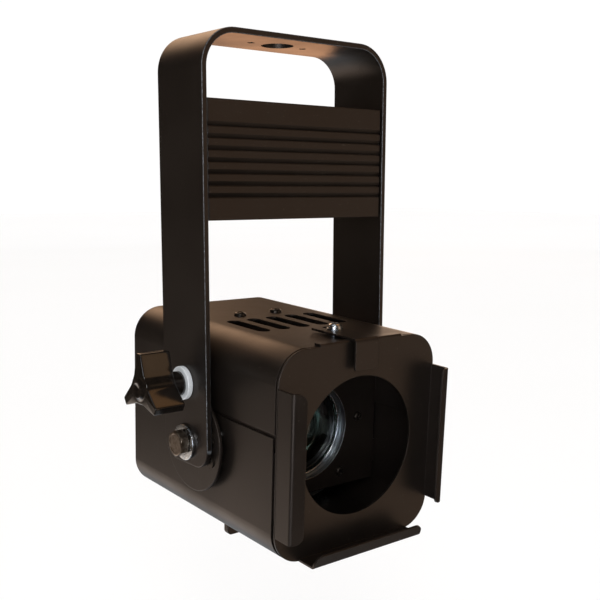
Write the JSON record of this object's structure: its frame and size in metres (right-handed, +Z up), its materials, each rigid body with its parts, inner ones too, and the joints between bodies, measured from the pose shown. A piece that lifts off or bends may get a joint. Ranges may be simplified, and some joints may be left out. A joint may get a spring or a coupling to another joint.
{
  "type": "compact stage spotlight",
  "caption": "Compact black sheet-metal stage spotlight in a flat strip yoke, with a ribbed driver box between the arms, colour-frame runners, a focusing lamp carriage and a tilt lock knob.",
  "frame": {"origin": "centre of the yoke's hanging hole, on the strip's top face", "axes": "+Z up along the hanging hole, beam towards -Y, +X to the right seen from the front"},
  "size_m": [0.1618, 0.179, 0.2907],
  "materials": {
    "black_coat": "satin black powder coat",
    "zinc_plate": "bright zinc plate",
    "black_screw": "black oxide",
    "knob_plastic": "glossy moulded black",
    "nylon": "moulded light grey nylon",
    "clear_glass": "polished",
    "mirror_glass": "coated glass reflector",
    "quartz": "clear quartz",
    "white_ceramic": "fired steatite",
    "fibre": "vulcanised fibre",
    "board": "glass-epoxy laminate",
    "copper": "enamelled copper",
    "core_steel": "varnished laminations",
    "capacitor_sleeve": "shrink sleeve",
    "terminal_plastic": "moulded nylon",
    "black_nylon": "moulded black nylon"
  },
  "bodies": {
    "yoke": {"yoke_strip": "black_coat", "clamp_lug": "zinc_plate", "knob_washer": "nylon", "driver_cover": "black_coat", "driver_pan": "black_coat", "driver_mount_pads": "black_coat", "driver_screws": "black_screw", "driver_circuit_board": "board", "board_standoffs": "zinc_plate", "driver_transformer_core": "core_steel", "driver_transformer_coil": "copper", "driver_capacitors": "capacitor_sleeve", "driver_terminal_block": "terminal_plastic", "mains_gland": "black_nylon", "output_gland": "black_nylon"},
    "tilt_knob": {"tilt_knob": "knob_plastic", "knob_stud": "zinc_plate"},
    "head": {"upper_shell": "black_coat", "lower_shell": "black_coat", "front_plate": "black_coat", "rear_plate": "black_coat", "tilt_disc_left": "black_coat", "tilt_disc_right": "black_coat", "friction_washers": "fibre", "disc_spacers": "zinc_plate", "disc_rivets": "zinc_plate", "pivot_bolts": "zinc_plate", "pivot_washers": "zinc_plate", "pivot_nuts": "zinc_plate", "top_screws": "black_screw", "rear_screws": "black_screw", "cable_gland": "black_nylon", "gland_nut": "black_nylon", "light_baffle": "black_coat", "guide_rails": "zinc_plate", "head_terminal_block": "white_ceramic", "frame_clip_screw": "zinc_plate", "frame_clip_washers": "zinc_plate", "lens_plate": "black_coat", "lens_barrel": "zinc_plate", "lens": "clear_glass", "lens_spring": "zinc_plate", "lens_screws": "zinc_plate"},
    "lamp_carriage": {"carriage_plate": "zinc_plate", "lamp_bracket": "zinc_plate", "holder_bracket": "zinc_plate", "lamp_reflector": "mirror_glass", "reflector_clip": "zinc_plate", "reflector_clip_posts": "zinc_plate", "lamp_capsule": "quartz", "lamp_base": "white_ceramic", "lamp_holder": "white_ceramic", "lamp_holder_screws": "zinc_plate", "focus_handle": "black_coat", "focus_handle_screw": "zinc_plate"},
    "frame_clip": {"frame_clip": "black_coat"}
  },
  "joints": [
    {"name": "head_tilt", "type": "hinge", "parent": "yoke", "child": "head", "pos_m": [0, 0, -0.218], "axis": [1, 0, 0], "range_deg": [-92.3, 87.7]},
    {"name": "knob_turn", "type": "hinge", "parent": "yoke", "child": "tilt_knob", "pos_m": [-0.08, 0, -0.1848], "axis": [-1, 0, 0], "range_deg": [0, 360]},
    {"name": "lamp_carriage_slide", "type": "slide", "parent": "head", "child": "lamp_carriage", "axis": [0, 0.9992, 0.0401], "range_m": [-0.015, 0.015]},
    {"name": "frame_clip_slide", "type": "slide", "parent": "head", "child": "frame_clip", "axis": [0, -0.9992, -0.0401], "range_m": [-0.0015, 0.007]}
  ]
}
